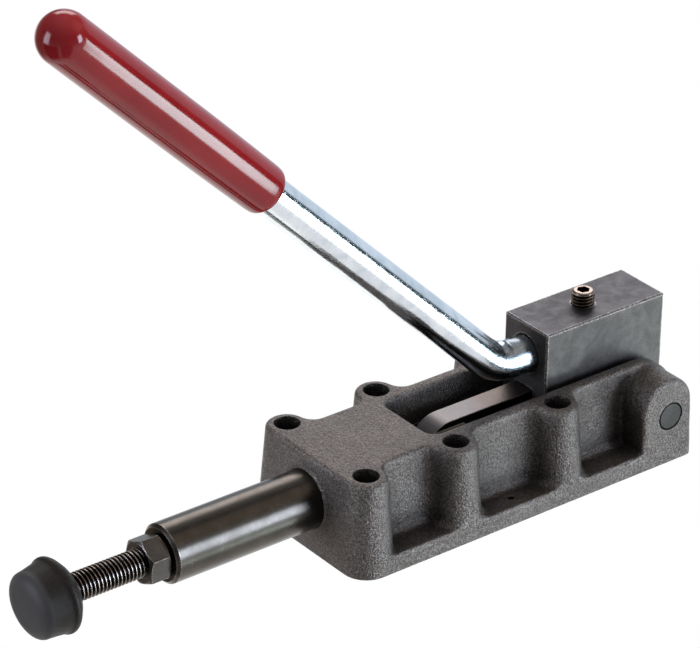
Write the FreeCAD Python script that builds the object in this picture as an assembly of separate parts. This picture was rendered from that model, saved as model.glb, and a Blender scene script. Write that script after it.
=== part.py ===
import FreeCAD, Part
import math
import os

# Push-pull toggle clamp. All sizes are in millimetres.
# Origin: centre of the front four bolt holes, on the mounting plane (z = 0).
# +X runs back along the plunger, +Y is the side away from the pictured one, +Z is up.

os.makedirs("parts", exist_ok=True)
V = FreeCAD.Vector

# plunger line
axis_z = 22.0
plunger_d = 25.0
plunger_r = plunger_d / 2
plunger_front = -103.7
plunger_fit = 0.03

# mounting holes: two front pairs and one rear pair
bolt_r = 5.5
bolt_dx = 45.4
bolt_dy = 51.7
bolt_rear_x = 75.8
hole_x = [-bolt_dx / 2, bolt_dx / 2, bolt_rear_x]
hole_y = bolt_dy / 2

# casting
body_h = 41.3
body_front = -33.5
body_rear = 142.3
ear_rear = 141.6
half_w = 37.5
flange_t = 8.0
wall_top = half_w - 15.5
wall_base = half_w - 13.5
boss_top_r = 8.7
boss_base_r = hole_x[0] - body_front
boss_inset = 0.05
boss_base_y = half_w - boss_base_r - boss_inset
pocket_r = 6.0
trough_front = 18.0
trough_half = 16.5
trough_floor = 7.4
ramp_start = 112.0
ramp_fall = 3.4
rear_corner_r = 4.0
rim_r = 1.2
lip_r = 0.9
trough_r = 5.0
foot = 2.2

dimple_r = 1.3
dimple_deep = 1.6
dimple_x = 48.8
dimple_y = 30.4

# toggle pivots
pivot_x = 128.5
arm = 34.5
link_len = 57.0
pin_a_x = pivot_x - arm
pin_b_x = pin_a_x - link_len
link_half_h = 14.0
link_t = 10.5
link_gap = 0.15
slot_half = link_t / 2 + link_gap
pivot_d = 12.0
pin_d = 10.0
pin_fit = 0.03
pin_sink = 0.25
clevis_sink = 1.2

# lever block
block_front = 80.0
block_rear = pivot_x + 15.0
block_top = 64.9
block_half = 13.45
slot_top = axis_z + link_half_h + 0.25
swing = 96.0
link_lean = math.degrees(math.asin(arm * math.sin(math.radians(swing)) / link_len))

# handle
bar_r = 8.0
bar_z = 51.3
bar_rise = 44.2
bend_x = 63.3
bend_r = 20.0
bar_in = 46.0
grip_start = 163.0
grip_tip = 297.0
grip_r = 10.85
grip_mouth_r = 10.3
grip_swell = 50.0
grip_lip = 1.8
grip_wall = 4.0
grip_lip_in = 1.4

# screws
screw_r = 6.0
nut_af = 17.5
nut_len = 9.4
nut_washer = 0.7
set_x = 110.4
set_r = 5.0
set_top = 71.2


def box(x0, x1, y0, y1, z0, z1):
    """A block between two corners."""
    return Part.makeBox(x1 - x0, y1 - y0, z1 - z0, V(x0, y0, z0))


def rod_x(r, x0, x1, y=0.0, z=axis_z):
    """A round bar along X."""
    return Part.makeCylinder(r, x1 - x0, V(x0, y, z), V(1, 0, 0))


def rod_y(r, y0, y1, x, z=axis_z):
    """A round bar along Y."""
    return Part.makeCylinder(r, y1 - y0, V(x, y0, z), V(0, 1, 0))


def rod_z(r, z0, z1, x, y=0.0):
    """A round bar along Z."""
    return Part.makeCylinder(r, z1 - z0, V(x, y, z0), V(0, 0, 1))


def turned(points):
    """A solid turned about the plunger line from (x, radius) points."""
    pts = [V(x, 0, r) for x, r in points]
    pts.append(pts[0])
    face = Part.Face(Part.makePolygon(pts))
    solid = face.revolve(V(0, 0, 0), V(1, 0, 0), 360)
    solid.translate(V(0, 0, axis_z))
    return solid


def plate(outline, y0, y1):
    """A flat plate across Y from an outline of (x, z) points."""
    pts = [V(x, y0, z) for x, z in outline]
    pts.append(pts[0])
    return Part.Face(Part.makePolygon(pts)).extrude(V(0, y1 - y0, 0))


def stadium(x0, x1, half, z, y0, y1):
    """A bar with two round ends, lying along X."""
    flat = box(x0, x1, y0, y1, z - half, z + half)
    return flat.fuse([rod_y(half, y0, y1, x0, z), rod_y(half, y0, y1, x1, z)]).removeSplitter()


def drafted(x0, x1, half0, lean_x, lean_y, z0, z1):
    """A block centred on the plunger line whose front and sides lean in towards the top."""
    low = [V(x0, -half0, z0), V(x1, -half0, z0), V(x1, half0, z0), V(x0, half0, z0), V(x0, -half0, z0)]
    half1 = half0 - lean_y
    front = x0 + lean_x
    high = [V(front, -half1, z1), V(x1, -half1, z1), V(x1, half1, z1), V(front, half1, z1), V(front, -half1, z1)]
    return Part.makeLoft([Part.makePolygon(low), Part.makePolygon(high)], True, True)


def hexagon(af, x0, x1, turn):
    """A six-sided bar along the plunger line, by its width over flats and the angle of its first corner."""
    corner_r = af / 2 / math.cos(math.pi / 6)
    angles = [math.radians(60 * k + turn) for k in range(7)]
    pts = [V(x0, corner_r * math.cos(a), axis_z + corner_r * math.sin(a)) for a in angles]
    return Part.Face(Part.makePolygon(pts)).extrude(V(x1 - x0, 0, 0))


def near(edge, test):
    """Whether the middle of an edge passes a test."""
    return test(edge.valueAt((edge.FirstParameter + edge.LastParameter) / 2))


# the casting: a drafted block with six bolt posts, which leave three pockets a side
def leaning_post(x, side, base_r, top_r, z0, z1):
    """A round bolt post: its foot is flush with the flange, its top is centred on the bolt hole."""
    foot_mid = V(x, side * boss_base_y, z0)
    rise_line = V(x, side * hole_y, z1) - foot_mid
    spare = 1.0
    taper = (base_r - top_r) / rise_line.Length
    unit = rise_line * (1 / rise_line.Length)
    cone = Part.makeCone(base_r + taper * spare, top_r - taper * spare, rise_line.Length + 2 * spare,
                         foot_mid - unit * spare, rise_line)
    return cone.common(box(x - 2 * base_r, x + 2 * base_r, -2 * half_w, 2 * half_w, z0, z1))


front_lean = boss_base_r - boss_top_r
upper = drafted(body_front, body_rear, wall_base, front_lean, wall_base - wall_top, flange_t, body_h)
nose = drafted(body_front, hole_x[0], boss_base_y, front_lean, boss_base_y - hole_y, flange_t, body_h).common(
    box(body_front - 1, hole_x[0], -half_w, half_w, 0, body_h))
posts = [leaning_post(x, side, boss_base_r, boss_top_r, flange_t, body_h) for x in hole_x for side in (-1, 1)]
upper = upper.fuse([nose] + posts).removeSplitter()
corners = [e for e in upper.Edges if near(e, lambda p: wall_top < abs(p.y) < wall_base
           and abs(p.z - (body_h + flange_t) / 2) < 2 and p.x < body_rear - 1)]
upper = upper.makeFillet(pocket_r, corners)
rim = [e for e in upper.Edges if e.BoundBox.ZMin > body_h - 0.01]
upper = upper.makeChamfer(rim_r, rim)
flange = box(body_front, body_rear, -half_w, half_w, 0, flange_t)
front_corners = [e for e in flange.Edges if near(e, lambda p: abs(p.x - body_front) < 0.01
                 and abs(abs(p.y) - half_w) < 0.01 and abs(p.z - flange_t / 2) < 0.01)]
rear_corners = [e for e in flange.Edges if near(e, lambda p: abs(p.x - body_rear) < 0.01
                and abs(abs(p.y) - half_w) < 0.01 and abs(p.z - flange_t / 2) < 0.01)]
flange = flange.makeFillet(boss_base_r, front_corners).makeFillet(rear_corner_r, rear_corners)

# ears that carry the pivot pin
ear_x = 126.9
ear_r = 13.3
ear_drop = 2.0
ear_edge_r = 2.0
ear_z = body_h - ear_drop - ear_r


def ear(side):
    """One ear, with its outer edge rounded."""
    y0 = min(side * trough_half, side * half_w)
    y1 = max(side * trough_half, side * half_w)
    arch = rod_y(ear_r, y0, y1, ear_x, ear_z)
    leg = box(ear_x - ear_r + 0.2, ear_rear, y0, y1, 0, ear_z)
    shape = arch.fuse(leg).removeSplitter()
    shape = shape.cut(plate([(ear_rear + 1, -1), (ear_rear, -1), (ear_x + ear_r, ear_z), (ear_rear + 1, ear_z)],
                            y0 - 1, y1 + 1))
    outer = [e for e in shape.Edges if near(e, lambda p: abs(p.y - side * half_w) < 0.01 and p.z > 5)]
    return shape.makeFillet(ear_edge_r, outer)


# sloped foot where the pockets meet the flange
feet = [Part.makeCone(boss_base_r + foot, boss_base_r, foot, V(x, side * boss_base_y, flange_t))
        for x in hole_x[1:] for side in (-1, 1)]
feet.append(drafted(hole_x[0], body_rear, wall_base + foot, 0.0, foot, flange_t, flange_t + foot))
foot_ring = feet[0].fuse(feet[1:]).common(box(body_front, body_rear, -half_w, half_w, 0, body_h))
body = upper.fuse([flange, ear(-1), ear(1), foot_ring]).removeSplitter()

# walls run down at the back end
tail_x = pivot_x - 5.0
tail_r = body_h - axis_z
tail = rod_y(tail_r, -wall_base - 1, wall_base + 1, tail_x)
tail_cut = box(tail_x, body_rear + 5, -wall_base - 1, wall_base + 1, axis_z, body_h + 5).cut(tail)
for side in (-1, 1):
    tail_cut = tail_cut.cut(ear(side))
body = body.cut(tail_cut)

# trough, plunger bore and bolt holes
trough = box(trough_front, body_rear + 5, -trough_half, trough_half, trough_floor, body_h + 5)
trough_ends = [e for e in trough.Edges if near(e, lambda p: abs(p.x - trough_front) < 0.01
               and abs(abs(p.y) - trough_half) < 0.01 and 10 < p.z < body_h)]
trough = trough.makeFillet(trough_r, trough_ends)
body = body.cut(trough)


def trough_outline(grow, z):
    """The plan of the trough, grown outwards, as a closed wire."""
    x0 = trough_front - grow
    x1 = body_rear + 5
    half = trough_half + grow
    r = trough_r + grow
    mid = r * (1 - math.sqrt(0.5))
    a, b, c = V(x0 + r, -half, z), V(x0 + mid, -half + mid, z), V(x0, -half + r, z)
    d, e, f = V(x0, half - r, z), V(x0 + mid, half - mid, z), V(x0 + r, half, z)
    return Part.Wire([Part.makeLine(V(x1, -half, z), a), Part.Arc(a, b, c).toShape(), Part.makeLine(c, d),
                      Part.Arc(d, e, f).toShape(), Part.makeLine(f, V(x1, half, z)),
                      Part.makeLine(V(x1, half, z), V(x1, -half, z))])


lip = Part.makeLoft([trough_outline(0.0, body_h - lip_r), trough_outline(lip_r, body_h)], True, True)
body = body.cut(lip)
ramp = plate([(ramp_start, trough_floor), (body_rear + 1, trough_floor - ramp_fall), (body_rear + 1, trough_floor + 1),
              (ramp_start, trough_floor + 1)], -trough_half, trough_half)
body = body.cut(ramp)
body = body.cut(rod_x(plunger_r + plunger_fit, body_front - 1, trough_front + 1))
for x in hole_x:
    for y in (-hole_y, hole_y):
        body = body.cut(rod_z(bolt_r, -1, body_h + 1, x, y))

# inner boss faces that hold the lever block central
cheek_gap = 0.25
cheek_boss_r = 10.5
for side in (-1, 1):
    y0 = side * (block_half + cheek_gap)
    y1 = side * (trough_half + 1.0)
    body = body.fuse(rod_y(cheek_boss_r, min(y0, y1), max(y0, y1), pivot_x))
body = body.removeSplitter()
body = body.cut(rod_y(pivot_d / 2, -half_w - 1, half_w + 1, pivot_x))
dimple = rod_z(dimple_r, flange_t - dimple_deep, flange_t + foot, dimple_x, -dimple_y)
body = body.cut(dimple)


# pivot pin, pressed through both ears
pin_edge = 0.5
pivot_pin = rod_y(pivot_d / 2, -half_w, half_w, pivot_x)
pivot_pin = pivot_pin.makeChamfer(pin_edge, [e for e in pivot_pin.Edges if e.Curve.TypeId == "Part::GeomCircle"])

# plunger with a tapped front and a clevis at the back
plunger_rear = pin_b_x + 9.2
clevis_front = pin_b_x - 25.0
stud_depth = 52.0
thread_fit = 0.05
nose_edge = 1.3
tail_edge = 2.4
plunger = turned([(plunger_front, 0), (plunger_front, plunger_r - nose_edge), (plunger_front + nose_edge, plunger_r),
                  (plunger_rear - tail_edge, plunger_r), (plunger_rear, plunger_r - tail_edge), (plunger_rear, 0)])
plunger = plunger.cut(rod_x(screw_r + thread_fit, plunger_front - 1, plunger_front + stud_depth))
plunger = plunger.cut(box(clevis_front, plunger_rear + 1, -slot_half, slot_half, axis_z - 15, axis_z + 15))
plunger = plunger.cut(rod_y(pin_d / 2, -15, 15, pin_b_x))
pin_half = plunger_r - clevis_sink
pin_ends = rod_y(pin_d / 2, -pin_half, -slot_half, pin_b_x).fuse(rod_y(pin_d / 2, slot_half, pin_half, pin_b_x))
pin_core = rod_y(pin_d / 2, -link_t / 2, link_t / 2, pin_b_x)

# toggle link between the plunger and the lever block
link = stadium(pin_b_x, pin_a_x, link_half_h, axis_z, -link_t / 2, link_t / 2)
link = link.cut(rod_y(pin_d / 2, -10, 10, pin_b_x))
link = link.cut(rod_y(pin_d / 2 + pin_fit, -10, 10, pin_a_x))

# lever block: two cheeks below, solid above, with a bore for the bar and a tapped hole on top
round_r = pin_a_x - block_front
low_z = axis_z - round_r
heel_x = block_rear - round_r
bend45 = round_r * math.sqrt(0.5)
block_edge = 0.6
bar_fit = 0.25
side_pts = [V(block_front, -block_half, axis_z), V(block_front, -block_half, block_top),
            V(block_rear, -block_half, block_top), V(block_rear, -block_half, axis_z),
            V(heel_x + bend45, -block_half, axis_z - bend45), V(heel_x, -block_half, low_z),
            V(pin_a_x, -block_half, low_z), V(pin_a_x - bend45, -block_half, axis_z - bend45)]
side_lines = [Part.makeLine(side_pts[0], side_pts[1]), Part.makeLine(side_pts[1], side_pts[2]),
              Part.makeLine(side_pts[2], side_pts[3]),
              Part.Arc(side_pts[3], side_pts[4], side_pts[5]).toShape(), Part.makeLine(side_pts[5], side_pts[6]),
              Part.Arc(side_pts[6], side_pts[7], side_pts[0]).toShape()]
block = Part.Face(Part.Wire(side_lines)).extrude(V(0, 2 * block_half, 0))
edge_set = [e for e in block.Edges if near(e, lambda q: abs(abs(q.y) - block_half) < 0.01
            or (abs(q.y) < 0.01 and abs(q.z - block_top) < 0.01))]
block = block.makeChamfer(block_edge, edge_set)

# slot between the cheeks, with room for the link from rest to full travel; the cut runs out past the block
lean = math.radians(swing + link_lean)
reach = block_rear - block_front + 6.5
wide = link_half_h + 0.3
turn_x = -math.cos(lean)
turn_z = -math.sin(lean)
side_x = -turn_z
side_z = turn_x
knee_z = axis_z + wide * side_z + (wide - wide * side_x) / turn_x * turn_z
cut_outline = [(block_front - 5, slot_top), (pin_a_x + wide, slot_top), (pin_a_x + wide, knee_z),
               (pin_a_x + wide * side_x + reach * turn_x, axis_z + wide * side_z + reach * turn_z),
               (block_front - 5, axis_z - reach / 2)]
slot = plate(cut_outline, -slot_half, slot_half)
block = block.cut(slot)
block = block.cut(rod_y(pivot_d / 2 + pin_fit, -20, 20, pivot_x))
block = block.cut(rod_y(pin_d / 2, -20, 20, pin_a_x))
bore = rod_x(bar_r + bar_fit, block_front - 1, block_front + bar_in, 0, bar_z)
block = block.cut(bore)
block = block.cut(rod_z(set_r, bar_z, block_top + 1, set_x))
lever_pin = rod_y(pin_d / 2, -block_half + pin_sink, block_half - pin_sink, pin_a_x)

# handle bar, bent up and forward from the block
rise = math.radians(bar_rise)
tangent = bend_r * math.tan(rise / 2)
inner = rod_x(bar_r, bend_x + tangent, block_front + bar_in, 0, bar_z)
profile = Part.Face(Part.Wire(Part.makeCircle(bar_r, V(bend_x + tangent, 0, bar_z), V(1, 0, 0))))
elbow = profile.revolve(V(bend_x + tangent, 0, bar_z + bend_r), V(0, 1, 0), bar_rise)
along = V(-math.cos(rise), 0, math.sin(rise))
start = V(bend_x, 0, bar_z) + along * tangent
bar_end = grip_tip - grip_wall
straight = Part.makeCylinder(bar_r, bar_end - tangent, start, along)
bar = inner.fuse([elbow, straight]).removeSplitter()

# grip: a soft sleeve with a round end
tip = grip_tip - grip_r
outline = [V(0, 0, 0), V(grip_mouth_r - grip_lip_in, 0, 0), V(grip_mouth_r - grip_lip_in / 4, 0, grip_lip / 4),
           V(grip_mouth_r, 0, grip_lip), V(grip_r, 0, grip_swell), V(grip_r, 0, tip - grip_start)]
edges = [Part.makeLine(a, b) for a, b in zip(outline[:-1], outline[1:])]
dome_mid = V(grip_r * math.cos(math.pi / 4), 0, tip - grip_start + grip_r * math.sin(math.pi / 4))
edges.append(Part.Arc(outline[-1], dome_mid, V(0, 0, tip - grip_start + grip_r)).toShape())
edges.append(Part.makeLine(V(0, 0, tip - grip_start + grip_r), V(0, 0, 0)))
grip = Part.Face(Part.Wire(edges)).revolve(V(0, 0, 0), V(0, 0, 1), 360)
grip.Placement = FreeCAD.Placement(V(bend_x, 0, bar_z) + along * grip_start,
                                   FreeCAD.Rotation(V(0, 0, 1), along))
grip = grip.cut(bar)

# set screw that holds the bar
socket_af = 5.0
socket_deep = 5.0
socket_turn = 10
socket_r = socket_af / 2 / math.cos(math.pi / 6)
set_screw = rod_z(set_r, bar_z + bar_r + 0.02, set_top, set_x)
ring = [e for e in set_screw.Edges if e.Curve.TypeId == "Part::GeomCircle"]
set_screw = set_screw.makeChamfer(0.7, ring)
angles = [math.radians(60 * k + socket_turn) for k in range(7)]
hex_pts = [V(set_x + socket_r * math.cos(a), socket_r * math.sin(a), set_top - socket_deep) for a in angles]
set_screw = set_screw.cut(Part.Face(Part.makePolygon(hex_pts)).extrude(V(0, 0, socket_deep + 1)))

# lock nut: its corners are chamfered by a turned shape, and it has a washer face at the plunger
nut_turn = 36
nut_face_in = 0.3
washer_r = 7.6
nut_back = plunger_front
nut_front = nut_back - nut_washer - nut_len
corner = nut_af / 2 / math.cos(math.pi / 6)
bevel_r = nut_af / 2 - nut_face_in
bevel = (corner - bevel_r) * math.tan(math.radians(30))
nut_limit = turned([(nut_front, 0), (nut_front, bevel_r), (nut_front + bevel, corner + 0.01),
                    (nut_front + nut_len - bevel, corner + 0.01), (nut_front + nut_len, bevel_r),
                    (nut_front + nut_len, 0)])
nut = hexagon(nut_af, nut_front, nut_front + nut_len, nut_turn).common(nut_limit)
nut = nut.fuse(rod_x(washer_r, nut_front + nut_len - 0.5, nut_back)).removeSplitter()
nut = nut.cut(rod_x(screw_r + thread_fit, nut_front - 1, nut_back + 1))

# pressure screw with a hexagon head held in a rubber cap
cap_rear = -147.3
head_back = -151.5
head_len = 7.5
head_af = 18.0
screw_in = 26.0
screw_edge = 1.0
screw_end = plunger_front + screw_in
screw = rod_x(screw_r, head_back, screw_end)
tail_ring = [e for e in screw.Edges if near(e, lambda p: abs(p.x - screw_end) < 0.01)]
screw = screw.makeChamfer(screw_edge, tail_ring)
screw = screw.fuse(hexagon(head_af, head_back - head_len, head_back, 0)).removeSplitter()
cap = turned([(cap_rear, 0), (cap_rear, 10.4), (-151.2, 15.8), (-153.1, 15.8), (-154.6, 15.0),
              (-163.2, 13.7), (-165.9, 11.5), (-167.0, 8.4), (-167.4, 0)])
cap = cap.cut(screw)

parts = {
    "body_casting": body,
    "pivot_pin": pivot_pin,
    "plunger": plunger,
    "clevis_pin_ends": pin_ends,
    "lock_nut": nut,
    "pressure_screw": screw,
    "rubber_cap": cap,
    "toggle_link": link,
    "clevis_pin_core": pin_core,
    "lever_block": block,
    "lever_pin": lever_pin,
    "handle_bar": bar,
    "handle_grip": grip,
    "set_screw": set_screw,
}
for name, shape in parts.items():
    shape.exportStep("parts/" + name + ".step")
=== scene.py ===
import math

import bmesh
import bpy
from mathutils import Matrix, Vector


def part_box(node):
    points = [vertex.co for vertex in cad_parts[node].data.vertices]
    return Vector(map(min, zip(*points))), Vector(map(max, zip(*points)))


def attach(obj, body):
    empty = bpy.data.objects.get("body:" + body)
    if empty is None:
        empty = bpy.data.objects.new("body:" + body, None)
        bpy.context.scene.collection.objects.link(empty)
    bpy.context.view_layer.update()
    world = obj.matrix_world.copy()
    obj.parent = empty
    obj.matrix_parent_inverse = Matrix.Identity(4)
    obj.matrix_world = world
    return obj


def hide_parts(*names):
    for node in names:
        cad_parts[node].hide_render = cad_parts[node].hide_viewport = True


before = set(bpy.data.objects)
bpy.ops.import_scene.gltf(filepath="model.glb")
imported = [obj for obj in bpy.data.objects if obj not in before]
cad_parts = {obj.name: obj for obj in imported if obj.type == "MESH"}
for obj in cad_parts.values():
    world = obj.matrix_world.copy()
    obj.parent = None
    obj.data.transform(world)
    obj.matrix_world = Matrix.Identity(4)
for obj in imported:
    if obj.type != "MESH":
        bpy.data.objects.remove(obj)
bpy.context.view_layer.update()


# Casting
# One iron casting with a sand-mould skin: every cast edge is soft and the skin is finely rough.
# Bolt holes, plunger bore and pivot holes are drilled afterwards, and it is phosphated a dark brown-grey.
def joined(tree, source, socket):
    """Links a node, or a (node, output) pair, to a socket; any other value becomes the socket's own."""
    if isinstance(source, tuple) and hasattr(source[0], "outputs"):
        tree.links.new(source[0].outputs[source[1]], socket)
    elif hasattr(source, "outputs"):
        tree.links.new(source.outputs[0], socket)
    elif isinstance(source, tuple) and len(source) == 3 and socket.type == "RGBA":
        socket.default_value = (*source, 1)
    else:
        socket.default_value = source


def node(tree, kind, settings=None, **inputs):
    """One shader node; its inputs are given by name, with _ for a space, or by number as i0, i1."""
    made = tree.nodes.new(kind)
    for key, value in (settings or {}).items():
        setattr(made, key, value)
    for key, value in inputs.items():
        joined(tree, value, made.inputs[int(key[1:]) if key[1:].isdigit() else key.replace("_", " ")])
    return made


def maths(tree, operation, *values):
    """One sum on numbers or sockets."""
    values = {f"i{k}": value for k, value in enumerate(values)}
    return node(tree, "ShaderNodeMath", {"operation": operation}, **values)


def ramp(tree, value, *stops):
    """A colour ramp from (position, grey or colour) stops, in order."""
    made = node(tree, "ShaderNodeValToRGB", i0=value)
    for k, (position, shade) in enumerate(stops):
        stop = made.color_ramp.elements[k] if k < 2 else made.color_ramp.elements.new(1.0)
        stop.position = position
        stop.color = (shade, shade, shade, 1) if isinstance(shade, float) else (*shade, 1)
    return made


def blend(tree, share, a, b, kind="MIX"):
    """Two colours mixed by a share, as a (node, output) pair."""
    made = node(tree, "ShaderNodeMix", {"data_type": "RGBA", "blend_type": kind}, i0=share, i6=a, i7=b)
    return made, 2


def finish_named(name):
    """A new material: its tree, its Principled shader and the piece's own Object coordinates."""
    made = bpy.data.materials.new(name)
    made.use_nodes = True
    place = (made.node_tree.nodes.new("ShaderNodeTexCoord"), "Object")
    return made, made.node_tree, made.node_tree.nodes["Principled BSDF"].inputs, place


def group_named(name, inputs, outputs):
    """A node group with a Place input and named float inputs, and float outputs."""
    made = bpy.data.node_groups.new(name, "ShaderNodeTree")
    made.interface.new_socket("Place", in_out="INPUT", socket_type="NodeSocketVector")
    for title, default in inputs.items():
        socket = made.interface.new_socket(title, in_out="INPUT", socket_type="NodeSocketFloat")
        socket.default_value = default
    for title in outputs:
        made.interface.new_socket(title, in_out="OUTPUT", socket_type="NodeSocketFloat")
    return made, made.nodes.new("NodeGroupInput"), made.nodes.new("NodeGroupOutput").inputs


# the grain is noise on a scale of under a millimetre, with small pits; the patches are some 20 mm across
sand, given, out = group_named("sand mould grain", {"Grain Scale": 1500.0},
                               ["Height", "Speckle", "Patches"])
fine = node(sand, "ShaderNodeTexNoise", Vector=(given, "Place"), Scale=(given, "Grain Scale"),
            Detail=3.0, Roughness=0.65)
lumps = node(sand, "ShaderNodeTexNoise", Vector=(given, "Place"),
             Scale=maths(sand, "MULTIPLY", (given, "Grain Scale"), 0.35), Detail=2.0)
pits = node(sand, "ShaderNodeTexVoronoi", Vector=(given, "Place"), Scale=(given, "Grain Scale"))
speckle = maths(sand, "MULTIPLY_ADD", (pits, "Distance"), 0.35, fine)
joined(sand, speckle, out["Speckle"])
joined(sand, maths(sand, "MULTIPLY_ADD", lumps, 0.9, speckle), out["Height"])
patches = node(sand, "ShaderNodeTexNoise", Vector=(given, "Place"), Scale=55.0, Detail=4.0)
joined(sand, patches, out["Patches"])

cast_finish, tree, shader, place = finish_named("cast_skin")
grain = node(tree, "ShaderNodeGroup", {"node_tree": sand}, Place=place, Grain_Scale=1320.0)
skin = ramp(tree, (grain, "Speckle"), (0.42, (0.067, 0.055, 0.049)),
            (0.62, (0.132, 0.117, 0.108)), (0.86, (0.250, 0.226, 0.210)))
skin = blend(tree, 1.0, skin, ramp(tree, (grain, "Patches"), (0.35, 0.84), (0.65, 1.0)), "MULTIPLY")
# painted shade: the inner corners, the recesses and the holes are painted darker where shade falls, and
# this also stands for the oil and soot that stay there
surface = node(tree, "ShaderNodeNewGeometry")
painted_corner_shade = ramp(tree, (surface, "Pointiness"), (0.46, 0.45), (0.50, 0.92), (0.56, 1.0))
skin = blend(tree, 1.0, skin, painted_corner_shade, "MULTIPLY")
# painted shade, from how closely the piece's own recesses hem a point in
open_sky = node(tree, "ShaderNodeAmbientOcclusion", {"samples": 8, "only_local": True}, Distance=0.013)
painted_recess_shade_and_oil = ramp(tree, (open_sky, "AO"), (0.14, 0.035), (0.42, 0.37), (0.72, 0.63), (0.94, 1.0))
joined(tree, blend(tree, 1.0, skin, painted_recess_shade_and_oil, "MULTIPLY"), shader["Base Color"])
shader["Metallic"].default_value = 0.92
joined(tree, ramp(tree, (grain, "Speckle"), (0.3, 0.50), (0.9, 0.36)), shader["Roughness"])
relief = node(tree, "ShaderNodeBump", Strength=0.85, Distance=0.00055, Height=(grain, "Height"))
joined(tree, relief, shader["Normal"])


def merged_copy(title, name):
    """A copy of a CAD node as a new piece, with its loose triangles joined up."""
    made = bpy.data.objects.new(title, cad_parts[name].data.copy())
    bpy.context.scene.collection.objects.link(made)
    for label in ("custom_normal", "sharp_edge", "sharp_face"):
        if label in made.data.attributes:
            made.data.attributes.remove(made.data.attributes[label])
    bm = bmesh.new()
    bm.from_mesh(made.data)
    bmesh.ops.remove_doubles(bm, verts=bm.verts, dist=2e-6)
    bmesh.ops.dissolve_limit(bm, angle_limit=math.radians(0.5), verts=bm.verts, edges=bm.edges)
    bm.to_mesh(made.data)
    bm.free()
    return made


def apply_all(piece):
    """Applies a piece's modifiers."""
    bpy.context.view_layer.objects.active = piece
    for modifier in list(piece.modifiers):
        bpy.ops.object.modifier_apply(modifier=modifier.name)


def settle(piece, body, finish, slot, *stands_for):
    """Applies a piece's modifiers, gives it its finish and puts it on its body."""
    apply_all(piece)
    piece.data.materials.clear()
    piece.data.materials.append(finish)
    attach(piece, body)
    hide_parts(*stands_for)


def rod(bm, centre, radius, length, along="Z", steps=72):
    """A capped cylinder along X, Y or Z."""
    turn = {"X": Matrix.Rotation(math.pi / 2, 4, "Y"), "Y": Matrix.Rotation(math.pi / 2, 4, "X"),
            "Z": Matrix()}
    bmesh.ops.create_cone(bm, cap_ends=True, segments=steps, radius1=radius, radius2=radius,
                          depth=length, matrix=Matrix.Translation(centre) @ turn[along])


def cut_flat(bm, point, normal):
    """Cuts a closed shape flat and caps it."""
    cut = bmesh.ops.bisect_plane(bm, geom=bm.verts[:] + bm.edges[:] + bm.faces[:], dist=1e-7,
                                 plane_co=point, plane_no=normal, clear_outer=True)
    edges = [e for e in cut["geom_cut"] if isinstance(e, bmesh.types.BMEdge)]
    bmesh.ops.holes_fill(bm, edges=[e for e in edges if e.is_boundary], sides=0)


def cut_away(piece, cutters, overlaps=False):
    """Takes closed cutters out of a piece and leaves their edges crisp."""
    tool = bpy.data.objects.new("cutters", bpy.data.meshes.new("cutters"))
    cutters.to_mesh(tool.data)
    cutters.free()
    bpy.context.scene.collection.objects.link(tool)
    cut = piece.modifiers.new("drilled", "BOOLEAN")
    cut.operation = "DIFFERENCE"
    cut.solver = "EXACT"
    cut.use_self = overlaps
    cut.object = tool
    apply_all(piece)
    bpy.data.objects.remove(tool)
    piece.data.shade_smooth()
    piece.data.set_sharp_from_angle(angle=math.radians(42))


casting_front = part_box("body_casting")[0].x
casting_top = 0.0413
axis_height = 0.022
below_foot = -0.004
bolt_holes = [(x, y) for x in (-0.0227, 0.0227, 0.0758) for y in (-0.02585, 0.02585)]
bolt_hole_radius = 0.0055
bore_radius = 0.01275
bore_back = 0.0180
bore_length = bore_back - casting_front
bore_middle = (casting_front + bore_length / 2, 0, axis_height)
pin_low, pin_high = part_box("pivot_pin")
pin_middle = (pin_low + pin_high) / 2
pin_hole_radius = 0.00635
dimple = (0.0488, -0.0304, 0.0082)

# the CAD's holes are plugged and the foot is let down while the skin is made, so that the drill and the
# last cut leave sharp edges
casting = merged_copy("casting", "body_casting")
bm = bmesh.new()
bm.from_mesh(casting.data)
for v in bm.verts:
    if v.co.z < 1e-6:
        v.co.z = below_foot
for x, y in bolt_holes:
    rod(bm, (x, y, casting_top / 2 - 0.002), 0.0058, casting_top + 0.004)
rod(bm, bore_middle, 0.0129, bore_length, "X")
for side in (-1, 1):
    rod(bm, (pin_middle.x, side * (pin_high.y - 0.004), pin_middle.z), 0.0062, 0.008, "Y")
bm.to_mesh(casting.data)
bm.free()
mould = casting.modifiers.new("mould", "REMESH")
mould.mode = "VOXEL"
mould.voxel_size = 0.00080
soften = casting.modifiers.new("soften", "SMOOTH")
soften.factor = 0.5
soften.iterations = 4
apply_all(casting)
bm = bmesh.new()
bm.from_mesh(casting.data)
cut_flat(bm, (0, 0, 0), (0, 0, -1))
bm.to_mesh(casting.data)
bm.free()
bm = bmesh.new()
for x, y in bolt_holes:
    rod(bm, (x, y, casting_top / 2), bolt_hole_radius, 0.06)
rod(bm, (bore_middle[0] - 0.001, 0, axis_height), bore_radius, bore_length + 0.003, "X", 128)
rod(bm, pin_middle, pin_hole_radius, 0.09, "Y")
rod(bm, dimple, 0.0013, 0.0036, "Z", 32)
cut_away(casting, bm)
settle(casting, "frame", cast_finish, "casting", "body_casting")
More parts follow.
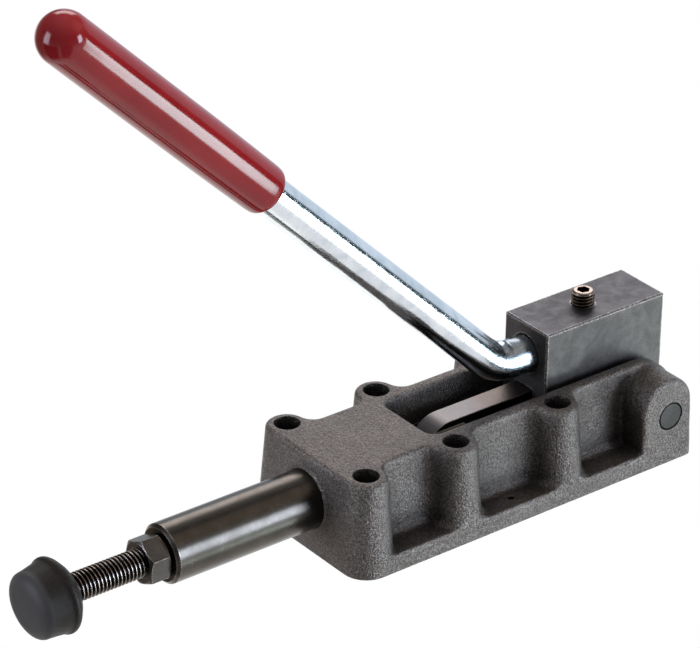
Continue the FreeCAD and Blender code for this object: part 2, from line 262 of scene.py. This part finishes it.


# Lever block
# A milled steel block, phosphated dark grey, with light worn chamfers, which are also painted lighter as
# edge highlights. Two cheeks below hold the link, the handle bar enters its front and a set screw comes
# down on the bar from the top.
# the edges are painted lighter, partly for real wear and partly as a painted edge highlight
edge_wear_and_highlight, given, out = group_named("worn and highlighted edges", {"Width": 0.0004, "Break Up": 900.0}, ["Worn"])
eased_normal = node(edge_wear_and_highlight, "ShaderNodeBevel", {"samples": 4}, Radius=(given, "Width"))
facet = node(edge_wear_and_highlight, "ShaderNodeNewGeometry")
agree = node(edge_wear_and_highlight, "ShaderNodeVectorMath", {"operation": "DOT_PRODUCT"}, i0=eased_normal,
             i1=(facet, "Normal"))
patchy = node(edge_wear_and_highlight, "ShaderNodeTexNoise", Vector=(given, "Place"), Scale=(given, "Break Up"), Detail=3.0)
near_edge = node(edge_wear_and_highlight, "ShaderNodeMapRange", Value=(agree, "Value"), From_Min=0.995, From_Max=0.93)
some = node(edge_wear_and_highlight, "ShaderNodeMapRange", Value=patchy, From_Min=0.38, From_Max=0.6, To_Min=0.25)
joined(edge_wear_and_highlight, maths(edge_wear_and_highlight, "MULTIPLY", near_edge, some), out["Worn"])

smudge, given, out = group_named("smudges", {"Size": 60.0, "Fleck": 1400.0}, ["Cloud", "Flecks"])
cloud = node(smudge, "ShaderNodeTexNoise", Vector=(given, "Place"), Scale=(given, "Size"), Detail=5.0,
             Distortion=0.6)
flecks = node(smudge, "ShaderNodeTexNoise", Vector=(given, "Place"), Scale=(given, "Fleck"), Detail=2.0)
joined(smudge, cloud, out["Cloud"])
joined(smudge, flecks, out["Flecks"])


def steel_finish(name, dark, light, edge, roughness, fleck=1400.0, cloud_size=60.0, edge_width=0.0004,
                 relief=0.12, sheen_drift=0.045):
    """Steel with soft clouds, fine flecks and lighter worn edges, which are also painted edge highlights.
    """
    made, tree, shader, place = finish_named(name)
    marks = node(tree, "ShaderNodeGroup", {"node_tree": smudge}, Place=place, Size=cloud_size, Fleck=fleck)
    tone = ramp(tree, (marks, "Cloud"), (0.35, dark), (0.68, light))
    tone = blend(tree, 1.0, tone, ramp(tree, (marks, "Flecks"), (0.3, 0.78), (0.7, 1.0)), "MULTIPLY")
    # the edges are painted lighter: wear, and a painted edge highlight
    wear_and_painted_highlight = node(tree, "ShaderNodeGroup", {"node_tree": edge_wear_and_highlight}, Place=place, Width=edge_width)
    joined(tree, blend(tree, wear_and_painted_highlight, tone, edge), shader["Base Color"])
    shader["Metallic"].default_value = 1.0
    sheen = ramp(tree, (marks, "Cloud"), (0.3, roughness + sheen_drift), (0.7, roughness - sheen_drift))
    joined(tree, sheen, shader["Roughness"])
    bumps = node(tree, "ShaderNodeBump", Strength=relief, Distance=0.0001, Height=(marks, "Flecks"))
    joined(tree, bumps, shader["Normal"])
    return made


def eased(title, name, width, body, finish, slot, cutters=None):
    """A machined piece: the CAD node's own shape, cut where given and then with its edges broken."""
    piece = merged_copy(title, name)
    if cutters:
        cut_away(piece, cutters)
    piece.data.shade_smooth()
    edge = piece.modifiers.new("broken edges", "BEVEL")
    edge.width = width
    edge.segments = 2
    edge.limit_method = "ANGLE"
    edge.angle_limit = math.radians(25)
    edge.harden_normals = True
    edge.use_clamp_overlap = True
    flat = piece.modifiers.new("true faces", "WEIGHTED_NORMAL")
    flat.keep_sharp = True
    flat.weight = 100
    settle(piece, body, finish, slot, name)


block_low, block_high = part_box("lever_block")
bar_height = 0.0513
block_finish = steel_finish("block_phosphate", (0.098, 0.090, 0.087), (0.126, 0.116, 0.112),
                            (0.62, 0.58, 0.52), 0.50, cloud_size=210.0, edge_width=0.0010, relief=0.3)
# painted reflection: the top is painted a shade darker and bluer, for the cool light it mirrors
tree = block_finish.node_tree
shader = tree.nodes["Principled BSDF"].inputs
spot = node(tree, "ShaderNodeSeparateXYZ", Vector=(tree.nodes["Texture Coordinate"], "Object"))
painted_top_reflection_tint = node(tree, "ShaderNodeMapRange", Value=(spot, "Z"), From_Min=block_high.z - 0.0005,
              From_Max=block_high.z - 0.0003)
all_over = (shader["Base Color"].links[0].from_node, 2)
joined(tree, blend(tree, painted_top_reflection_tint, all_over, (0.78, 0.84, 0.96), "MULTIPLY"), shader["Base Color"])
# the mouth of the bar's hole is opened out a little
bm = bmesh.new()
rod(bm, (block_low.x + 0.006, 0, bar_height), 0.0086, 0.016, "X", 96)
eased("block", "lever_block", 0.00012, "lever", block_finish, "block_steel", bm)


# Toggle link and pins
# The link is a sawn and ground flat bar with round ends; its colour runs from grey through brown to nearly
# black towards the block.
# The pins are hardened and pressed in, and turn in the holes of the link and the block.
link_finish, tree, shader, place = finish_named("link_ground")
along = node(tree, "ShaderNodeSeparateXYZ", Vector=place)
marks = node(tree, "ShaderNodeGroup", {"node_tree": smudge}, Place=place, Size=140.0, Fleck=900.0)
drift = maths(tree, "MULTIPLY_ADD", (marks, "Cloud"), 0.02, (along, "X"))
grey_to_black_towards_block = ramp(tree, node(tree, "ShaderNodeMapRange", Value=drift, From_Min=0.03, From_Max=0.095),
            (0.0, (0.155, 0.147, 0.147)), (0.45, (0.12, 0.117, 0.122)),
            (0.62, (0.10, 0.083, 0.075)), (1.0, (0.04, 0.034, 0.030)))
grind = node(tree, "ShaderNodeTexNoise", Detail=2.0, Scale=1.0,
             Vector=node(tree, "ShaderNodeMapping", Vector=place, Scale=(4200.0, 260.0, 4200.0)))
tone = blend(tree, 1.0, grey_to_black_towards_block, ramp(tree, grind, (0.3, 0.72), (0.7, 1.0)), "MULTIPLY")
# the edges are painted lighter: wear, and a painted edge highlight
wear_and_painted_highlight = node(tree, "ShaderNodeGroup", {"node_tree": edge_wear_and_highlight}, Place=place, Width=0.0003)
joined(tree, blend(tree, wear_and_painted_highlight, tone, (0.6, 0.56, 0.52)), shader["Base Color"])
shader["Metallic"].default_value = 1.0
shader["Roughness"].default_value = 0.36
joined(tree, node(tree, "ShaderNodeBump", Strength=0.25, Distance=0.0001, Height=grind), shader["Normal"])
eased("link", "toggle_link", 0.0003, "link", link_finish, "link_steel")

pin_finish = steel_finish("pin_hardened", (0.040, 0.038, 0.037), (0.056, 0.053, 0.052),
                          (0.10, 0.10, 0.10), 0.40)
eased("pivot_pin_turned", "pivot_pin", 0.0001, "frame", pin_finish, "pin_steel")
for name in ("clevis_pin_ends", "clevis_pin_core", "lever_pin"):
    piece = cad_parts[name]
    piece.data.materials.clear()
    piece.data.materials.append(pin_finish)


# Plunger
# A ground steel rod, burnished dark brown, which slides in the casting's bore.
# It is tapped at the front for the screw and slotted for the link at the back.
plunger_finish = steel_finish("plunger_burnished", (0.066, 0.059, 0.051), (0.082, 0.074, 0.066),
                              (0.36, 0.33, 0.30), 0.28, fleck=2200.0, cloud_size=150.0,
                              edge_width=0.0007, relief=0.035, sheen_drift=0.012)
eased("ram", "plunger", 0.0003, "ram", plunger_finish, "plunger_steel")


# Pressure screw and lock nut
# A black M12 screw, screwed into the plunger, whose rolled thread is rubbed bright on its crests.
# A hexagon nut locks it against the plunger's front.
thread_pitch = 0.00175
thread_crest = 0.00597
thread_root = 0.0049
thread_front = -0.1478
thread_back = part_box("pressure_screw")[1].x


def from_axis(tree, across, up):
    """The distance from an axis, out of the two coordinates square to it."""
    off = node(tree, "ShaderNodeCombineXYZ", i0=across, i1=up)
    return node(tree, "ShaderNodeVectorMath", {"operation": "LENGTH"}, i0=off), "Value"


black_finish, tree, shader, place = finish_named("screw_black")
spot = node(tree, "ShaderNodeSeparateXYZ", Vector=place)
radius = from_axis(tree, (spot, "Y"), maths(tree, "SUBTRACT", (spot, "Z"), axis_height))
marks = node(tree, "ShaderNodeGroup", {"node_tree": smudge}, Place=place, Size=300.0, Fleck=1800.0)
crest = node(tree, "ShaderNodeMapRange", Value=radius, From_Min=thread_crest - 0.0003,
             From_Max=thread_crest)
crest = maths(tree, "MULTIPLY", crest, ramp(tree, (marks, "Cloud"), (0.35, 0.35), (0.6, 1.0)))
joined(tree, blend(tree, crest, (0.035, 0.030, 0.027), (0.42, 0.37, 0.33)), shader["Base Color"])
shader["Metallic"].default_value = 1.0
shader["Roughness"].default_value = 0.34


def profile(bm, points):
    """A line of joined vertices."""
    made = [bm.verts.new(p) for p in points]
    return made + [bm.edges.new(pair) for pair in zip(made[:-1], made[1:])]


def threaded(bm, pitch, root, crest, start, turns, steps=48):
    """A rolled thread along X, from one zigzag line that is spun once round while it moves one pitch on."""
    line = []
    for k in range(turns + 2):
        x = start + (k - 1) * pitch
        line += [(x, root), (x + 0.12 * pitch, root), (x + 0.45 * pitch, crest),
                 (x + 0.57 * pitch, crest), (x + 0.88 * pitch, root)]
    line = profile(bm, [(x, 0, r) for x, r in line])
    bmesh.ops.spin(bm, geom=line, cent=(0, 0, 0), axis=(1, 0, 0), dvec=(pitch / steps, 0, 0),
                   angle=math.tau, steps=steps)
    bmesh.ops.remove_doubles(bm, verts=bm.verts, dist=1e-7)


def piece_from(bm, title, sharp=40):
    """A new object from a bmesh, smooth but for its sharp edges, with its faces turned outwards."""
    bmesh.ops.recalc_face_normals(bm, faces=bm.faces)
    made = bpy.data.objects.new(title, bpy.data.meshes.new(title))
    bm.to_mesh(made.data)
    bm.free()
    made.data.shade_smooth()
    made.data.set_sharp_from_angle(angle=math.radians(sharp))
    bpy.context.scene.collection.objects.link(made)
    return made


bm = bmesh.new()
thread_turns = int((thread_back - thread_front) / thread_pitch) + 2
threaded(bm, thread_pitch, thread_root, thread_crest, thread_front, thread_turns)
bmesh.ops.translate(bm, verts=bm.verts, vec=(0, 0, axis_height))
cut_flat(bm, (thread_back, 0, 0), (1, 0, 0))
cut_flat(bm, (thread_front, 0, 0), (-1, 0, 0))
settle(piece_from(bm, "screw_thread"), "screw", black_finish, "black_steel", "pressure_screw")

nut_finish = steel_finish("nut_black", (0.080, 0.073, 0.068), (0.120, 0.116, 0.116),
                          (0.50, 0.48, 0.46), 0.34, edge_width=0.0005)
eased("nut", "lock_nut", 0.00025, "ram", nut_finish, "black_steel")


# Set screw
# An M10 grub screw of blackened steel with a hexagon socket.
# It comes down into the block's top and holds the bar.
set_low, set_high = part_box("set_screw")
set_x = (set_low.x + set_high.x) / 2
set_pitch = 0.0015
set_root = 0.0041
set_crest = 0.00497
set_length = 0.0100
set_turns = int(0.0105 / set_pitch) + 2
chamfer_height = 0.0007
bm = bmesh.new()
threaded(bm, set_pitch, set_root, set_crest, 0.0, set_turns)
bmesh.ops.rotate(bm, verts=bm.verts, cent=(0, 0, 0), matrix=Matrix.Rotation(math.radians(-90), 3, "Y"))
cut_flat(bm, (0, 0, set_length), (0, 0, 1))
cut_flat(bm, (0, 0, 0.0), (0, 0, -1))
bmesh.ops.translate(bm, verts=bm.verts, vec=(0, 0, set_high.z - set_length - chamfer_height))
# the chamfered top, as radius and depth below it, from its hidden underside over the rim to the middle
collar = [(0.0, 0.0016), (0.0040, 0.0016), (0.00455, 0.0010), (0.0045, 0.0006), (0.0040, 0.00005),
          (0.0038, 0.0), (0.0, 0.0)]
collar = profile(bm, [(r, 0, set_high.z - depth) for r, depth in collar])
bmesh.ops.spin(bm, geom=collar, cent=(0, 0, 0), axis=(0, 0, 1), angle=math.tau, steps=48,
               use_merge=True)
bmesh.ops.translate(bm, verts=bm.verts, vec=(set_x, 0, 0))
bmesh.ops.remove_doubles(bm, verts=bm.verts, dist=1e-7)
grub = piece_from(bm, "grub_screw")
# a 5 mm hexagon
socket_radius = 0.0025 / math.cos(math.pi / 6)
socket = bmesh.new()
bmesh.ops.create_cone(socket, cap_ends=True, segments=6, radius1=socket_radius, radius2=socket_radius,
                      depth=0.010, matrix=Matrix.Translation((set_x, 0, set_high.z))
                      @ Matrix.Rotation(math.radians(10), 4, "Z"))
cut_away(grub, socket, overlaps=True)

set_finish, tree, shader, place = finish_named("grub_screw_brown")
spot = node(tree, "ShaderNodeSeparateXYZ", Vector=place)
radius = from_axis(tree, maths(tree, "SUBTRACT", (spot, "X"), set_x), (spot, "Y"))
# the crests are lighter, and the chamfered top rim is painted light as a painted highlight
crest = node(tree, "ShaderNodeMapRange", Value=radius, From_Min=0.0044, From_Max=0.0049)
painted_rim_highlight = node(tree, "ShaderNodeMapRange", Value=(spot, "Z"), From_Min=set_high.z - 0.0008,
           From_Max=set_high.z - 0.0002)
crest = maths(tree, "MAXIMUM", crest, painted_rim_highlight)
joined(tree, blend(tree, crest, (0.035, 0.025, 0.019), (0.27, 0.22, 0.19)), shader["Base Color"])
shader["Metallic"].default_value = 1.0
shader["Roughness"].default_value = 0.3
settle(grub, "lever", set_finish, "black_steel", "set_screw")


# Rubber cap
# A moulded black rubber foot that is pushed over the head of the pressure screw.
# It has a flat nose, a waisted flank and a thick lip, and sits a little askew on the head.
cap_front, cap_back = (corner.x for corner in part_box("rubber_cap"))
cap_seat = -0.150
cap_finish, tree, shader, place = finish_named("cap_rubber")
marks = node(tree, "ShaderNodeGroup", {"node_tree": smudge}, Place=place, Size=150.0, Fleck=2600.0)
tone = ramp(tree, (marks, "Flecks"), (0.35, (0.003, 0.0025, 0.002)), (0.7, (0.017, 0.014, 0.012)))
# painted sheen: the nose is painted a lighter bluish grey, where its soft sheen shows
spot = node(tree, "ShaderNodeSeparateXYZ", Vector=place)
# the mask for the nose's painted sheen
wear_and_painted_highlight = node(tree, "ShaderNodeMapRange", Value=(spot, "X"), From_Min=cap_front + 0.0059,
              From_Max=cap_front + 0.0019)
joined(tree, blend(tree, wear_and_painted_highlight, tone, (0.050, 0.049, 0.055)), shader["Base Color"])
shader["Specular IOR Level"].default_value = 0.25
joined(tree, ramp(tree, (marks, "Cloud"), (0.35, 0.58), (0.65, 0.50)), shader["Roughness"])
relief = node(tree, "ShaderNodeBump", Strength=0.35, Distance=0.00012, Height=(marks, "Flecks"))
joined(tree, relief, shader["Normal"])

# the outline runs from the middle of the nose over the flank and the lip into the mouth
bm = bmesh.new()
shoulder = [(cap_front + 0.0046 - 0.0040 * math.cos(math.radians(k)), 0,
             0.00705 + 0.00688 * math.sin(math.radians(k))) for k in range(0, 91, 9)]
flank = [(cap_front + x, 0, r) for x, r in
         [(0.0062, 0.01408), (0.0080, 0.01430), (0.0098, 0.01456), (0.0115, 0.01485), (0.0127, 0.01508),
          (0.0133, 0.01530), (0.0137, 0.01565), (0.0142, 0.01590), (0.0148, 0.0160), (0.0155, 0.0159),
          (0.0161, 0.0156), (0.0168, 0.0150), (0.0178, 0.0138), (0.0190, 0.0123)]]
mouth = [(cap_back, 0, 0.0106), (cap_back, 0, 0.0075), (cap_back - 0.0006, 0, 0.0061),
         (cap_back - 0.002, 0, 0.006)]
nose = [(cap_front + 0.0003, 0, 0), (cap_front + 0.0004, 0, 0.0035)]
line = profile(bm, nose + shoulder + flank + mouth)
bmesh.ops.spin(bm, geom=line, cent=(0, 0, 0), axis=(1, 0, 0), angle=math.tau, steps=120,
               use_merge=True)
bmesh.ops.remove_doubles(bm, verts=bm.verts, dist=1e-7)
bmesh.ops.rotate(bm, verts=bm.verts, cent=(cap_seat, 0, 0), matrix=Matrix.Rotation(-0.056, 3, "Y"))
bmesh.ops.rotate(bm, verts=bm.verts, cent=(cap_seat, 0, 0), matrix=Matrix.Rotation(0.032, 3, "Z"))
bmesh.ops.translate(bm, verts=bm.verts, vec=(0, -0.0001, axis_height + 0.0001))
settle(piece_from(bm, "foot_cap", 60), "screw", cap_finish, "cap_rubber", "rubber_cap")


# Handle bar
# A 16 mm drawn bar, bent cold and zinc plated, held in the block by the set screw.
# The bend pinches the metal on its inner side.
bar_radius = 0.008
bar_start = 0.1255
bar_rise = math.radians(44.2)
# where the two straight runs would meet
bend_vertex = 0.0633
bend_radius = 0.020
tangent = bend_radius * math.tan(bar_rise / 2)
bar_direction = Vector((-math.cos(bar_rise), 0, math.sin(bar_rise)))
# the bar's far end, from that point, and how far past the bend the marks run
bar_tip = 0.2925
marked_run = 0.018

zinc_finish, tree, shader, place = finish_named("bar_zinc_plate")
drawn = node(tree, "ShaderNodeMapping", Vector=place, Rotation=(0, bar_rise, 0),
             Scale=(160.0, 900.0, 900.0))
streaks = node(tree, "ShaderNodeTexNoise", Vector=drawn, Scale=1.0, Detail=4.0, Roughness=0.7)
marks = node(tree, "ShaderNodeGroup", {"node_tree": smudge}, Place=place, Size=120.0, Fleck=1100.0)
tone = ramp(tree, (marks, "Cloud"), (0.35, (0.62, 0.67, 0.71)), (0.65, (0.78, 0.82, 0.85)))
# the clamping end is scuffed and rougher, and its colour is painted darker and bluer as a painted
# reflection of the dark block
spot = node(tree, "ShaderNodeSeparateXYZ", Vector=place)
scuffed_and_painted_dark = node(tree, "ShaderNodeMapRange", Value=(spot, "X"), From_Min=bend_vertex - 0.008,
               From_Max=bend_vertex + 0.006)
painted_dark_reflection = ramp(tree, (marks, "Cloud"), (0.35, (0.16, 0.20, 0.24)), (0.6, (0.42, 0.47, 0.52)))
tone = blend(tree, scuffed_and_painted_dark, tone, painted_dark_reflection)
joined(tree, tone, shader["Base Color"])
shader["Metallic"].default_value = 1.0
rough = ramp(tree, streaks, (0.35, 0.11), (0.7, 0.24))
joined(tree, maths(tree, "MULTIPLY_ADD", scuffed_and_painted_dark, 0.14, rough), shader["Roughness"])
dents = maths(tree, "MULTIPLY_ADD", streaks, 0.5, (marks, "Flecks"))
joined(tree, node(tree, "ShaderNodeBump", Strength=0.16, Distance=0.00012, Height=dents), shader["Normal"])


def drawn_out(bm, edges, direction, length, steps):
    """Extrudes a ring of edges along a line."""
    for _ in range(steps):
        made = bmesh.ops.extrude_edge_only(bm, edges=edges)["geom"]
        edges = [e for e in made if isinstance(e, bmesh.types.BMEdge)]
        bmesh.ops.translate(bm, verts=[v for v in made if isinstance(v, bmesh.types.BMVert)],
                            vec=direction * length / steps)
    return edges


bend_centre = Vector((bend_vertex + tangent, 0, bar_height + bend_radius))
bm = bmesh.new()
bmesh.ops.create_circle(bm, cap_ends=False, segments=96, radius=bar_radius,
                        matrix=Matrix.Translation((bar_start, 0, bar_height))
                        @ Matrix.Rotation(math.pi / 2, 4, "Y"))
edges = bm.edges[:]
bmesh.ops.holes_fill(bm, edges=edges, sides=0)
edges = drawn_out(bm, edges, Vector((-1, 0, 0)), bar_start - bend_vertex - tangent, 24)
bent = bmesh.ops.spin(bm, geom=edges, cent=bend_centre, axis=(0, 1, 0), angle=bar_rise,
                      steps=36)["geom_last"]
edges = [e for e in bent if isinstance(e, bmesh.types.BMEdge)]
edges = drawn_out(bm, edges, bar_direction, marked_run, 24)
edges = drawn_out(bm, edges, bar_direction, bar_tip - tangent - marked_run, 20)
bmesh.ops.holes_fill(bm, edges=edges, sides=0)
bmesh.ops.remove_doubles(bm, verts=bm.verts, dist=1e-7)
bm.normal_update()
# each mark: place along the bar from the bend's middle, place across it, length, width and height, in mm
pinch_marks = [(-1.0, 0.5, 1.6, 4.0, -0.56), (1.6, -1.0, 1.0, 3.5, 0.352),
               (3.6, 1.5, 0.9, 2.6, -0.4), (-3.6, -1.5, 1.3, 3.0, 0.32),
               (6.0, -2.5, 3.0, 0.9, -0.288), (9.0, 1.5, 4.5, 0.7, 0.224),
               (8.0, 3.2, 4.0, 0.8, -0.224), (-5.4, 2.0, 1.0, 2.4, -0.24)]
for along_mm, across_mm, long_mm, wide_mm, high_mm in pinch_marks:
    for v in bm.verts:
        around = v.co - bend_centre
        swept = math.atan2(-around.x, -around.z) - bar_rise / 2
        if math.hypot(around.x, around.z) > bend_radius + 0.002 or abs(swept) > 1.4:
            continue
        u = (swept * (bend_radius - bar_radius) * 1000 - along_mm) / long_mm
        w = (v.co.y * 1000 - across_mm) / wide_mm
        v.co += v.normal * high_mm / 1000 * math.exp(-u * u - w * w)
settle(piece_from(bm, "bar"), "lever", zinc_finish, "bar_zinc", "handle_bar")


# Grip
# A sleeve of dark red vinyl, made by dipping: glossy and slightly uneven.
# It has a rounded lip and a round end, and grips the bar by its own stretch.
vinyl_finish, tree, shader, place = finish_named("grip_vinyl")
marks = node(tree, "ShaderNodeGroup", {"node_tree": smudge}, Place=place, Size=45.0, Fleck=600.0)
tone = ramp(tree, (marks, "Cloud"), (0.3, (0.180, 0.008, 0.011)), (0.7, (0.230, 0.012, 0.014)))
joined(tree, tone, shader["Base Color"])
shader["Roughness"].default_value = 0.10
shader["Specular IOR Level"].default_value = 0.32
swell = node(tree, "ShaderNodeTexNoise", Vector=place, Scale=70.0, Detail=1.0)
joined(tree, node(tree, "ShaderNodeBump", Strength=0.14, Distance=0.0004, Height=swell), shader["Normal"])

# the outline runs from inside the mouth over its lip, up the swelling and round the end,
# as distance from the bend's vertex and radius
grip_start = 0.163
grip_end = 0.297
grip_radius = 0.01065
mouth_radius = 0.0103
lip = [(grip_start + 0.006, 0.0083), (grip_start + 0.0012, 0.0084), (grip_start + 0.0003, 0.0087),
       (grip_start, 0.0091), (grip_start + 0.0001, 0.0096), (grip_start + 0.0006, 0.0101)]
swelling = [(grip_start + 0.0018 + 0.048 * k / 10,
             mouth_radius + (grip_radius - mouth_radius) * math.sin(math.pi / 20 * k)) for k in range(11)]
dome = [(grip_end - grip_radius + grip_radius * math.sin(math.radians(k)),
         grip_radius * math.cos(math.radians(k))) for k in range(0, 90, 6)] + [(grip_end, 0.0)]
bm = bmesh.new()
line = profile(bm, [(0, r, d) for d, r in lip + swelling + dome])
bmesh.ops.spin(bm, geom=line, cent=(0, 0, 0), axis=(0, 0, 1), angle=math.tau, steps=64,
               use_merge=True)
bmesh.ops.remove_doubles(bm, verts=bm.verts, dist=1e-7)
# the soft sleeve sits a little high on the bar
stand = Vector((bend_vertex, 0, bar_height)) + Vector((math.sin(bar_rise), 0, math.cos(bar_rise))) * 0.0003
lean = bar_direction.to_track_quat("Z", "Y").to_matrix().to_4x4()
bmesh.ops.transform(bm, verts=bm.verts, matrix=Matrix.Translation(stand) @ lean)
grip = piece_from(bm, "grip", 70)
round_off = grip.modifiers.new("dipped", "SUBSURF")
round_off.levels = round_off.render_levels = 1
settle(grip, "lever", vinyl_finish, "grip_vinyl", "handle_grip")


# Floor, light and camera
# A pale paper floor, soft light overhead and a tall soft box at the near right.
# Metal mirrors the studio that the world holds, and not the lamps.
floor_mesh = bpy.data.meshes.new("floor")
bm = bmesh.new()
bmesh.ops.create_circle(bm, cap_ends=True, segments=96, radius=1.6)
bm.to_mesh(floor_mesh)
bm.free()
floor = bpy.data.objects.new("floor", floor_mesh)
bpy.context.scene.collection.objects.link(floor)
floor.location.z = -0.0002
paper, tree, shader, place = finish_named("paper")
shader["Base Color"].default_value = (0.86, 0.86, 0.86, 1)
shader["Roughness"].default_value = 0.9
shader["Specular IOR Level"].default_value = 0.1
ray = node(tree, "ShaderNodeLightPath")
white = node(tree, "ShaderNodeEmission", Color=(1.0, 1.0, 1.0), Strength=1.0)
seen = node(tree, "ShaderNodeMixShader", i0=(ray, "Is Camera Ray"),
            i1=tree.nodes["Principled BSDF"], i2=white)
clear = node(tree, "ShaderNodeBsdfTransparent")
seen = node(tree, "ShaderNodeMixShader", i0=(ray, "Is Glossy Ray"), i1=seen, i2=clear)
joined(tree, seen, tree.nodes["Material Output"].inputs["Surface"])
floor.data.materials.append(paper)

world = bpy.data.worlds.new("studio")
bpy.context.scene.world = world
world.use_nodes = True
tree = world.node_tree
way = node(tree, "ShaderNodeSeparateXYZ", Vector=(node(tree, "ShaderNodeTexCoord"), "Generated"))
azimuth = maths(tree, "MULTIPLY", maths(tree, "ARCTAN2", (way, "Y"), (way, "X")), 180 / math.pi)
elevation = maths(tree, "MULTIPLY", maths(tree, "ARCSINE", (way, "Z")), 180 / math.pi)


def between(value, low, high, soft):
    """1 inside a range of degrees, with soft ends."""
    smooth = {"interpolation_type": "SMOOTHSTEP"}
    rise = node(tree, "ShaderNodeMapRange", smooth, Value=value, From_Min=low - soft, From_Max=low + soft)
    fall = node(tree, "ShaderNodeMapRange", smooth, Value=value, From_Min=high - soft,
                From_Max=high + soft, To_Min=1.0, To_Max=0.0)
    return maths(tree, "MULTIPLY", rise, fall)


def patch(under, colour, az_low, az_high, el_low, el_high, soft):
    """A soft-edged rectangle of the studio, by azimuth and elevation, over what is there already."""
    share = maths(tree, "MULTIPLY", between(azimuth, az_low, az_high, soft),
                  between(elevation, el_low, el_high, soft))
    return blend(tree, share, under, colour)


# pale table below, dim walls, paler ceiling
room = ramp(tree, node(tree, "ShaderNodeMapRange", Value=elevation, From_Min=-90.0, From_Max=90.0),
            (0.0, (1.35, 1.33, 1.30)), (0.42, (1.15, 1.14, 1.12)), (0.50, (0.30, 0.32, 0.34)),
            (0.60, (0.16, 0.165, 0.17)), (0.80, (0.40, 0.40, 0.40)), (1.0, (0.70, 0.70, 0.70)))
# brown board on the far left, and black cloth and shade low down from the left round to the near side
room = patch(room, (0.32, 0.25, 0.20), 95, 150, -50, 10, 12)
room = patch(room, (0.03, 0.03, 0.03), 150, 200, -62, -8, 8)
room = patch(room, (0.03, 0.03, 0.03), -200, -146, -62, -8, 8)
room = patch(room, (0.12, 0.12, 0.13), -138, -91, -60, 0, 9)
# pale blue screen on the far right with a dark gap beside it, and the table's bright near edge
room = patch(room, (0.72, 0.82, 0.94), -14, 60, -45, 25, 4)
room = patch(room, (0.06, 0.07, 0.08), -36, -14, -30, 12, 2.5)
room = patch(room, (0.93, 0.93, 0.95), -84, -54, -78, -32, 5)
# tall narrow box that leans, so that it lies along what the sloping grip mirrors
leaning = maths(tree, "MULTIPLY_ADD", azimuth, -0.909, elevation)
share = maths(tree, "MULTIPLY", between(azimuth, -54.5, -32, 1.5), between(leaning, 20.0, 29.5, 1.5))
room = blend(tree, share, room, (13.0, 16.2, 16.8))
# soft box at the near right, with warm ceiling above it
room = patch(room, (13.5, 15.6, 19.0), -66, -49, -4, 20, 4)
room = patch(room, (0.85, 0.72, 0.62), -62, -5, 28, 62, 6)
# shade under the far side, and soft boxes behind and on the left
room = patch(room, (0.12, 0.12, 0.12), 25, 125, -81, -73, 2)
room = patch(room, (5.2, 4.85, 4.8), 32, 74, 22, 43, 4)
room = patch(room, (7.0, 7.7, 9.0), 152, 176, -8, 28, 5)
soft_light = ramp(tree, node(tree, "ShaderNodeMapRange", Value=elevation, From_Min=-90.0, From_Max=90.0),
                  (0.0, 0.10), (0.5, 0.12), (1.0, 0.34))
ray = node(tree, "ShaderNodeLightPath")
lit = blend(tree, (ray, "Is Glossy Ray"), soft_light, room)
backdrop = blend(tree, (ray, "Is Camera Ray"), lit, (1.0, 1.0, 1.0))
joined(tree, backdrop, tree.nodes["Background"].inputs["Color"])


object_middle = Vector((0.03, 0.0, 0.05))


def lamp(name, place, size, power):
    """A soft box that faces the object; metal sees it in the world instead."""
    data = bpy.data.lights.new(name, "AREA")
    data.shape = "RECTANGLE"
    data.size, data.size_y = size
    data.energy = power
    made = bpy.data.objects.new(name, data)
    bpy.context.scene.collection.objects.link(made)
    made.location = place
    made.rotation_euler = (object_middle - Vector(place)).to_track_quat("-Z", "Y").to_euler()
    made.visible_glossy = False
    made.visible_camera = False


lamp("near_right", (0.80, -0.95, 0.45), (0.45, 0.8), 14)
lamp("overhead", (0.05, 0.35, 1.25), (0.9, 0.6), 12)
lamp("left", (-0.9, -0.55, 0.55), (0.5, 0.5), 2.5)

# a long lens from the near left, turned, tipped and rolled as in the photograph
camera = bpy.data.objects.new("camera", bpy.data.cameras.new("camera"))
bpy.context.scene.collection.objects.link(camera)
turn, tip, roll = math.radians(-38.05), math.radians(28.5), math.radians(0.79)
right = Vector((math.cos(turn), math.sin(turn), 0))
rise = Vector((-math.sin(turn) * math.sin(tip), math.cos(turn) * math.sin(tip), math.cos(tip)))
behind = Vector((math.sin(turn) * math.cos(tip), -math.cos(turn) * math.cos(tip), math.sin(tip)))
across = math.cos(roll) * right + math.sin(roll) * rise
upward = -math.sin(roll) * right + math.cos(roll) * rise
camera.matrix_world = (Matrix.Translation((-0.81897, -1.03172, 0.80510))
                       @ Matrix((across, upward, behind)).transposed().to_4x4())
camera.data.sensor_width = 36
camera.data.lens = 195.45
camera.data.shift_x = -0.2 / 700
camera.data.shift_y = 1.0 / 700
camera.data.clip_start = 0.05
camera.data.clip_end = 20
bpy.context.scene.camera = camera
bpy.context.scene.view_settings.view_transform = "Standard"
